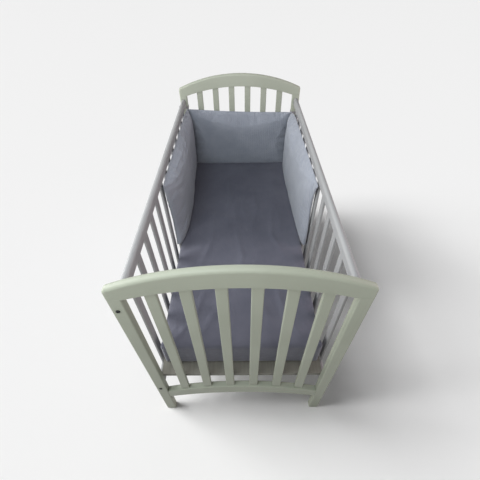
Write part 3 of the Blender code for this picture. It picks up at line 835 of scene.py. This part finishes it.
def gather_depth(along, up):
    """How far the gathers beside the seam move the cloth."""
    sides = sorted(((along * PANEL_LENGTH, up * PANEL_HEIGHT),
                    ((1 - along) * PANEL_LENGTH, up * PANEL_HEIGHT),
                    (up * PANEL_HEIGHT, along * PANEL_LENGTH),
                    ((1 - up) * PANEL_HEIGHT, along * PANEL_LENGTH)))
    distance, run = sides[0]
    uneven = noise.noise(Vector((run * UNEVEN_ALONG, 3.0, distance * UNEVEN_AWAY)))
    swing = math.sin(2 * math.pi * run / GATHER_APART + GATHER_SHIFT * uneven)
    strength = 0.55 + 0.9 * noise.noise(Vector((run * STRENGTH_ALONG, 8.0, 0.0)))
    dies_away = math.exp(-(distance / GATHER_REACH) ** GATHER_FADING)
    starts = distance / (distance + GATHER_START)
    return GATHER_DEPTH * max(strength, 0.0) * swing * dies_away * starts


def crinkle_depth(place):
    """How far the small wrinkles of washed gauze move the cloth."""
    leaning = Vector((place.x, place.y + CRINKLE_LEAN * place.z,
                      CRINKLE_STRETCH * (place.z - CRINKLE_LEAN * place.y)))
    folds = abs(noise.noise(leaning * CRINKLE_SCALE))
    broad = noise.noise(leaning * CRINKLE_PATCHES + Vector((5.0, 0.0, 0.0)))
    return CRINKLE_DEPTH * (RIDGE_LEVEL - folds) * (1.2 + broad)


# %% Finished pads
EDGE_SHARE = 0.01
SETTLES = 0.004
SETTLES_UP_TO = 0.03


def divide(piece):
    """Cut each face of a piece in four, and round it."""
    divided = piece.modifiers.new("divided", "SUBSURF")
    divided.levels = 1
    bpy.context.view_layer.update()
    mesh = bpy.data.meshes.new_from_object(
        piece.evaluated_get(bpy.context.evaluated_depsgraph_get()))
    piece.modifiers.remove(divided)
    piece.data = mesh


def crease(pad, side_name):
    """Divide a pad's cloth, give it its gathers, creases and crinkles, and let it settle."""
    divide(pad)
    mesh = pad.data
    shares = mesh.attributes["shares"].data
    directions = [vertex.normal.copy() for vertex in mesh.vertices]
    for vertex, outwards in zip(mesh.vertices, directions):
        along, up, side = shares[vertex.index].vector
        depth = crinkle_depth(vertex.co) + gather_depth(along, up)
        if side > 0:
            depth += sum(crease_depth(one, along, up) for one in CREASES[side_name])
        edge = min(along, 1 - along, up, 1 - up)
        place = vertex.co + outwards * depth * min(edge / EDGE_SHARE, 1.0)
        place.z -= SETTLES * math.exp(-(place.z - floor_z) / SETTLES_UP_TO)
        vertex.co = within_its_space(side_name, place)


for side_name, pad in pads.items():
    crease(pad, side_name)
    pad.data.shade_smooth()
    dress(pad, head_gauze if side_name == "head" else side_gauze)
    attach(pad, "root")
    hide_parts("bumper_" + side_name)
    print(pad.name, "faces:", len(pad.data.polygons))

# %% [markdown]
# ## The mattress in its sheet
# A foam mattress is a block with rounded edges. Its fitted sheet is cut a little small and has
# elastic under it, so the sheet is tight: it pulls the long edges round, bows the sides out, and
# drags small creases from each corner, where all its directions of pull meet. The block is made
# from six grids whose points are pushed onto a rounded box. Then the same simulation as for the
# pads swells it. It may rise only where no panel stands on it, and the bottom stays flat on the
# board. A few long creases are placed where hands smoothed the sheet out, and soft folds lie
# between them.

# %% Mattress
mattress_low, mattress_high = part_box("mattress")
MATTRESS_ROUND = 0.014
MATTRESS_GRID = 0.014
GRIDS_MEET = 0.0001
# Where the sheet was pulled over the corners and smoothed by hand: stops, height and width
SHEET_CREASES = (
    (((0.03, 0.10), (0.10, 0.20), (0.19, 0.25)), 0.0052, 0.011),
    (((0.02, 0.22), (0.12, 0.34), (0.26, 0.38)), 0.0044, 0.013),
    (((0.03, 0.88), (0.11, 0.78), (0.21, 0.74)), 0.0052, 0.011),
    (((0.06, 0.70), (0.17, 0.61), (0.31, 0.60)), 0.0042, 0.013),
    (((0.20, 0.47), (0.34, 0.51), (0.50, 0.46)), 0.0040, 0.012),
    (((0.30, 0.20), (0.42, 0.27), (0.57, 0.26)), 0.0048, 0.013),
    (((0.34, 0.83), (0.45, 0.75), (0.60, 0.77)), 0.0048, 0.012),
    (((0.47, 0.58), (0.60, 0.64), (0.74, 0.61)), 0.0038, 0.012),
    (((0.55, 0.36), (0.68, 0.41), (0.83, 0.37)), 0.0042, 0.011),
    (((0.72, 0.50), (0.83, 0.53), (0.93, 0.50)), 0.0034, 0.011),
)
mattress_middle = (mattress_low + mattress_high) / 2
mattress_half = (mattress_high - mattress_low) / 2
print("mattress in mm:", [round(2000 * length) for length in mattress_half])

# %% A rounded block
def on_rounded_box(place, half, radius):
    """The nearest point of a rounded box to a point of a plain one."""
    inner = Vector([min(max(place[axis], radius - half[axis]), half[axis] - radius)
                    for axis in range(3)])
    away = place - inner
    return inner + away.normalized() * radius if away.length > 0 else place


def rounded_block(name, middle, half):
    """A closed block of nearly square faces, with rounded edges."""
    shape = bmesh.new()
    for axis in range(3):
        across, up = [other for other in range(3) if other != axis]
        for side in (-1, 1):
            grid = bmesh.ops.create_grid(
                shape, x_segments=round(2 * half[across] / MATTRESS_GRID),
                y_segments=round(2 * half[up] / MATTRESS_GRID), size=1.0)
            for vertex in grid["verts"]:
                place = Vector((0.0, 0.0, 0.0))
                place[axis] = side * half[axis]
                place[across] = vertex.co.x * half[across]
                place[up] = vertex.co.y * half[up]
                vertex.co = place
    bmesh.ops.remove_doubles(shape, verts=shape.verts, dist=GRIDS_MEET)
    for vertex in shape.verts:
        vertex.co = middle + on_rounded_box(vertex.co, half, MATTRESS_ROUND)
    bmesh.ops.recalc_face_normals(shape, faces=shape.faces)
    return new_piece(name, shape)


# %% Where the sheet may rise
MATTRESS_CROWN = 0.006
MATTRESS_BOWS = 0.003
UNDER_PANELS = 0.74
UNDER_SIDE_PAD = 0.065
UNDER_HEAD_PAD = 0.06
CLEARING = 0.05


def clear_of_panels(place):
    """0 where a bumper panel stands on the mattress, 1 well away from all of them."""
    beside = place.y > seam_y - UNDER_PANELS
    from_side = (seam_x - UNDER_SIDE_PAD - abs(place.x)) / CLEARING if beside else 1.0
    from_head = (seam_y - UNDER_HEAD_PAD - place.y) / CLEARING
    return min(max(min(from_side, from_head), 0.0), 1.0)


def mattress_limits(place):
    """A point of the swollen mattress, kept off the panels, the board and the slats."""
    top = mattress_high.z + MATTRESS_CROWN * clear_of_panels(place)
    out = mattress_half.x + MATTRESS_BOWS
    return Vector((min(max(place.x, -out), out), place.y,
                   min(max(place.z, mattress_low.z), top)))


# %% Folds of the sheet
CORNER_CREASES = 0.0022
CORNER_REACH = 0.09
CORNER_START = 0.02
CORNER_RAYS = 9.0
SHEET_FOLDS = 0.0095
FOLDS_WANDER = 2.0
# How often each noise changes in a metre, across the mattress and along it
WANDERING = (3.0, 2.2)
LENGTHWISE = (15.0, 3.6)
CROSSWISE = (4.0, 13.0)
CALM_PATCHES = (4.5, 3.0)


def corner_creases(place):
    """How far the creases that run from each upper corner move the sheet."""
    moved = 0.0
    for x_side in (-1, 1):
        for y_end in (mattress_low.y, mattress_high.y):
            corner = Vector((x_side * mattress_half.x, y_end))
            away = Vector((place.x, place.y)) - corner
            turn = math.atan2(abs(away.y), abs(away.x))
            uneven = noise.noise(Vector((3.0 * x_side, 9.0 * y_end, 2.0 * turn)))
            wave = math.sin(CORNER_RAYS * turn + 3.0 * uneven)
            moved += (wave * math.exp(-away.length / CORNER_REACH)
                      * min(away.length / CORNER_START, 1.0))
    return CORNER_CREASES * moved


def sheet_noise(place, scales, layer, x_moved=0.0, y_moved=0.0):
    """A noise over the sheet. Each layer is another noise."""
    return noise.noise(Vector((place.x * scales[0] + x_moved, place.y * scales[1] + y_moved,
                               layer)))


def sheet_folds(place):
    """Long soft folds where the sheet is slack: most of them run along the mattress."""
    wander = FOLDS_WANDER * sheet_noise(place, WANDERING, 4.0)
    lengthwise = sheet_noise(place, LENGTHWISE, 0.0, x_moved=wander)
    crosswise = sheet_noise(place, CROSSWISE, 7.0, y_moved=wander)
    slack = min(max(0.5 + 1.6 * sheet_noise(place, CALM_PATCHES, 11.0), 0.0), 1.0)
    ridges = 0.7 * (0.3 - abs(lengthwise)) + 0.5 * (0.3 - abs(crosswise))
    return SHEET_FOLDS * slack * ridges


def sheet_creases(place):
    """How far the creases that were placed one by one move the sheet."""
    along = (place.y - mattress_low.y) / (2 * mattress_half.y)
    across = (place.x - mattress_low.x) / (2 * mattress_half.x)
    return sum(crease_depth(one, along, across, 2 * mattress_half.y, 2 * mattress_half.x)
               for one in SHEET_CREASES)


# %% Sheeted mattress
SHEET_HELD = 0.004


def sheeted_mattress():
    """The mattress in its sheet: swollen by the simulation, then creased."""
    block = rounded_block("sheeted_mattress", mattress_middle, mattress_half)
    pin(block, [vertex.index for vertex in block.data.vertices
                if vertex.co.z < mattress_low.z + SHEET_HELD])
    for vertex, swollen in zip(block.data.vertices, simulated_places(block)):
        vertex.co = mattress_limits(vertex.co + capped(swollen - vertex.co))
    divide(block)
    for vertex in block.data.vertices:
        if vertex.co.z > mattress_high.z - MATTRESS_ROUND:
            free = clear_of_panels(vertex.co)
            moved = sheet_folds(vertex.co) + corner_creases(vertex.co) + sheet_creases(vertex.co)
            vertex.co.z += moved * free
    return block


mattress = sheeted_mattress()
dress(mattress, sheet_knit)
mattress.data.shade_smooth()
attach(mattress, "root")
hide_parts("mattress")
print("mattress faces:", len(mattress.data.polygons))

# %% [markdown]
# ## The ties
# A folded strip of the same cloth is sewn into each head corner of the bumper. It goes round the
# leg, and is knotted on the leg's outer side with two short free ends. A strip is a row of points
# with a width, a little cupped because its raw edges are folded in. The knot is a tight lump with
# the strip's turns over it.

# %% A strip
TIE_THICKNESS = 0.0014
ACROSS_STRIP = (-1.0, -0.9, -0.5, 0.0, 0.5, 0.9, 1.0)
CUPPING = 0.0003
CRUMPLE = 0.0004
CRUMPLE_SCALE = 260.0


def length_of(points):
    """The length of a row of points."""
    return sum((end - start).length for start, end in zip(points, points[1:]))


def strip(name, points, acrosses, width, closed=False):
    """A strip of folded cloth along a row of points, cupped towards its edges."""
    shape = bmesh.new()
    rows = []
    for index, point in enumerate(points):
        along = points[(index + 1) % len(points)] - point if closed or index + 1 < len(points) \
            else point - points[index - 1]
        out = along.cross(acrosses[index]).normalized()
        crumple = CRUMPLE * noise.noise(point * CRUMPLE_SCALE)
        rows.append([shape.verts.new(point + acrosses[index] * (share * width / 2)
                                     + out * (crumple * share + CUPPING * abs(share) ** 3))
                     for share in ACROSS_STRIP])
    count = len(rows) if closed else len(rows) - 1
    for index in range(count):
        row, following = rows[index], rows[(index + 1) % len(rows)]
        for column in range(len(ACROSS_STRIP) - 1):
            shape.faces.new((row[column], row[column + 1], following[column + 1],
                             following[column]))
    piece = new_piece(name, shape)
    solid = piece.modifiers.new("folded_double", "SOLIDIFY")
    solid.thickness = TIE_THICKNESS
    solid.offset = 0.0
    divided = piece.modifiers.new("divided", "SUBSURF")
    divided.levels = 1
    divided.render_levels = 1
    return piece


# %% Round the leg
TIE_WIDTH = 0.014
TIE_CLEARANCE = 0.0006
TIE_ROUNDING = 0.0048
TIE_HEIGHTS = {"left": 0.832, "right": 0.795}
CORNER_STEPS = 4
POINTS_APART = 0.0025


def around_leg(half_x, half_y, middle):
    """Evenly spaced points round the leg, on a rounded rectangle."""
    points = []
    for corner in range(4):
        inner = Vector((half_x - TIE_ROUNDING, half_y - TIE_ROUNDING))
        centre = Vector((inner.x if corner in (0, 3) else -inner.x,
                         inner.y if corner in (0, 1) else -inner.y))
        for step in range(CORNER_STEPS + 1):
            angle = math.pi / 2 * (corner + step / CORNER_STEPS)
            points.append(Vector((centre.x + TIE_ROUNDING * math.cos(angle),
                                  centre.y + TIE_ROUNDING * math.sin(angle), 0.0)))
    spaced = []
    for start, end in zip(points, points[1:] + points[:1]):
        parts = max(1, round((end - start).length / POINTS_APART))
        spaced += [middle + start.lerp(end, part / parts) for part in range(parts)]
    return spaced


# %% The knot
KNOT_HALF = Vector((0.0062, 0.0085, 0.0100))
KNOT_OUT = 0.0045
KNOT_CORE = 0.93
KNOT_TURNS = 0.070
KNOT_FOLDS = 0.049


def knot(name, middle):
    """A tight knot: a lump with the strip's turns lying over it."""
    shape = bmesh.new()
    bmesh.ops.create_uvsphere(shape, u_segments=48, v_segments=32, radius=1.0)
    for vertex in shape.verts:
        turn = math.atan2(vertex.co.z, vertex.co.y)
        over = KNOT_TURNS * math.cos(3 * turn + 4 * vertex.co.x) * (1 - vertex.co.x ** 2)
        folds = KNOT_FOLDS * math.sin(9 * turn + 6 * noise.noise(vertex.co * 1.4))
        grown = vertex.co * (KNOT_CORE + over + folds)
        vertex.co = middle + Vector([grown[axis] * KNOT_HALF[axis] for axis in range(3)])
    return new_piece(name, shape)


# %% From the corner to the leg
FREE_END_WIDTH = 0.0112
LUG_STEPS = 4
# Each stop: how far outside the pad's sewn edge, and how far beyond the edge or the leg's front
LUG_STOPS = ((-0.0010, "edge", 0.0010), (0.0005, "leg", -0.0045), (0.0012, "leg", -0.0010),
             (0.0075, "leg", -0.0002))


def tie_lug(side_name, side, leg_front):
    """The strip from the bumper's corner, where it is sewn in, to the band round the leg."""
    origins = {"edge": seam_y, "leg": leg_front.y}
    stops = [Vector((side * (seam_x + outside), origins[origin] + beyond, leg_front.z))
             for outside, origin, beyond in LUG_STOPS]
    route = []
    for start, end in zip(stops, stops[1:]):
        route += [start.lerp(end, step / LUG_STEPS) for step in range(LUG_STEPS)]
    route.append(stops[-1])
    length = length_of(route)
    lug = strip("tie_lug_" + side_name, route, [Vector((0.0, 0.0, 1.0))] * len(route),
                FREE_END_WIDTH)
    print(lug.name, "length in mm:", round(1000 * length, 1))
    return lug


# %% A free end
FREE_END = 0.060
FREE_END_STEPS = 24
FREE_ENDS_APART = 0.003
FREE_ENDS_SPREAD = 0.008
FRONT_LONGER = 0.08
HANGS_IN = 0.0010
SWAY = 0.0012
SLANT = 0.35
TWIST = 0.25


def free_end(name, side, lean, knot_at):
    """An end that hangs from a knot. lean is -1 for the longer front end and 1 for the back."""
    route = []
    acrosses = []
    for step in range(FREE_END_STEPS + 1):
        share = step / FREE_END_STEPS
        outwards = HANGS_IN * (math.cos(math.pi * share) - 1) + SWAY * math.sin(7.0 * share + lean)
        route.append(knot_at + Vector((side * outwards,
                                       lean * (FREE_ENDS_APART + FREE_ENDS_SPREAD * share),
                                       -FREE_END * share * (1 - FRONT_LONGER * lean))))
        acrosses.append(Vector((side * TWIST * math.sin(2.0 * share + lean), 1.0,
                                lean * SLANT)).normalized())
    return strip(name, route, acrosses, FREE_END_WIDTH)


# %% Both ties
def tie(side_name, side):
    """The pieces of the tie on one head leg."""
    leg_low, leg_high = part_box("head_leg_" + side_name)
    leg = (leg_low + leg_high) / 2
    half_x = (leg_high.x - leg_low.x) / 2 + TIE_CLEARANCE + TIE_THICKNESS / 2
    half_y = (leg_high.y - leg_low.y) / 2 + TIE_CLEARANCE + TIE_THICKNESS / 2
    height = TIE_HEIGHTS[side_name]
    middle = Vector((leg.x, leg.y, height))
    points = around_leg(half_x, half_y, middle)
    ups = [Vector((0.0, 0.0, 1.0))] * len(points)
    band = strip("tie_band_" + side_name, points, ups, TIE_WIDTH, closed=True)
    length = length_of(points + points[:1])
    knot_at = Vector((leg.x + side * (half_x + TIE_THICKNESS / 2 + KNOT_OUT),
                      leg.y - KNOT_HALF.y, height))
    lump = knot("tie_knot_" + side_name, knot_at)
    pieces = [band, lump, tie_lug(side_name, side, Vector((leg.x, leg.y - half_y, height)))]
    for end_name, lean in (("front", -1), ("back", 1)):
        end = free_end("tie_end_" + end_name + "_" + side_name, side, lean, knot_at)
        pieces.append(end)
    return pieces


for side_name, side in (("left", -1), ("right", 1)):
    for piece in tie(side_name, side):
        dress(piece, tie_gauze_painted_shade)
        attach(piece, "root")
        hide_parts("tie_" + side_name)
        print(piece.name, "faces:", len(piece.data.polygons))

# %% [markdown]
# ## What the panels light
# Every piece of the crib and the bumper goes into the collection that the panels light. The head
# end stands far back, so one more panel lights its wood alone.

# %% The panels' reach
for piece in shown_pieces():
    the_crib.objects.link(piece)
for name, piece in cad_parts.items():
    if name.startswith("head_"):
        the_head_end.objects.link(piece)
